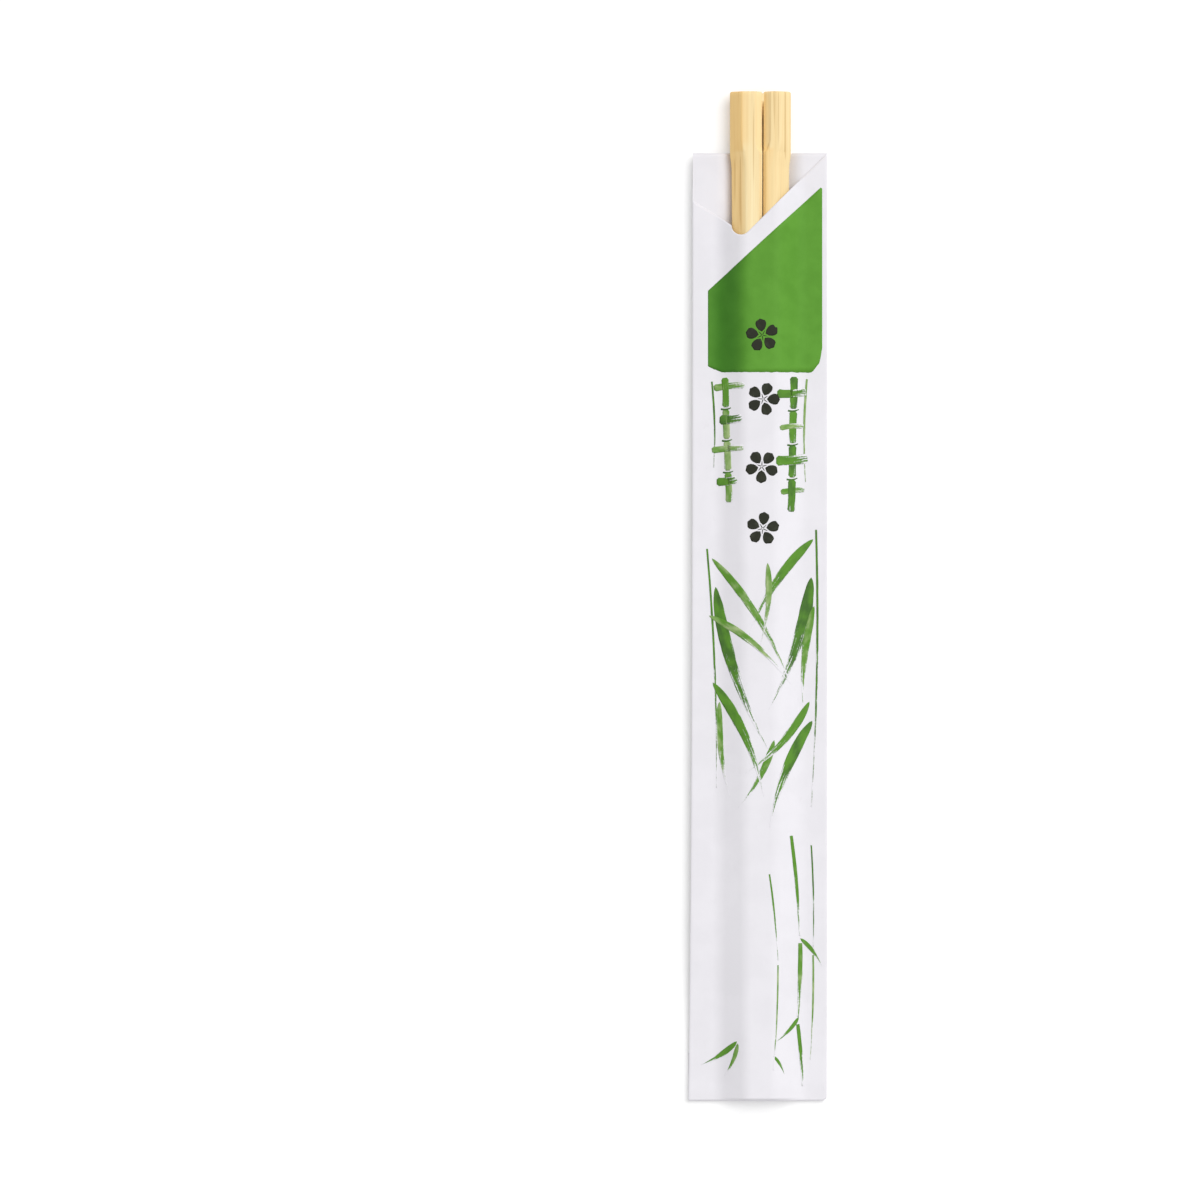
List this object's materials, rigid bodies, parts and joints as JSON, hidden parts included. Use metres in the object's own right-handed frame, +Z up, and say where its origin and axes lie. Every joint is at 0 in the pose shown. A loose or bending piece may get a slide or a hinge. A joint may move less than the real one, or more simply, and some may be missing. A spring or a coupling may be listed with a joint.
{
  "type": "disposable bamboo chopsticks in paper sleeve",
  "caption": "Joined pair of disposable bamboo chopsticks lying in a folded paper sleeve, open at one end with a slanted cut mouth.",
  "frame": {"origin": "under the middle of the whole object, on the surface that the sleeve lies on", "axes": "+Y along the sticks from the sleeve's folded foot to the handle ends, +X to the right across the sleeve seen from its printed front, +Z up out of the printed front"},
  "size_m": [0.0288, 0.2112, 0.0055],
  "materials": {
    "bamboo": "bare sanded bamboo, matt, with fine long fibres",
    "paper": "thin uncoated white paper, matt, printed in green and black on the front"
  },
  "bodies": {
    "root": {"chopstick_pair": "bamboo", "sleeve": "paper"}
  },
  "joints": []
}
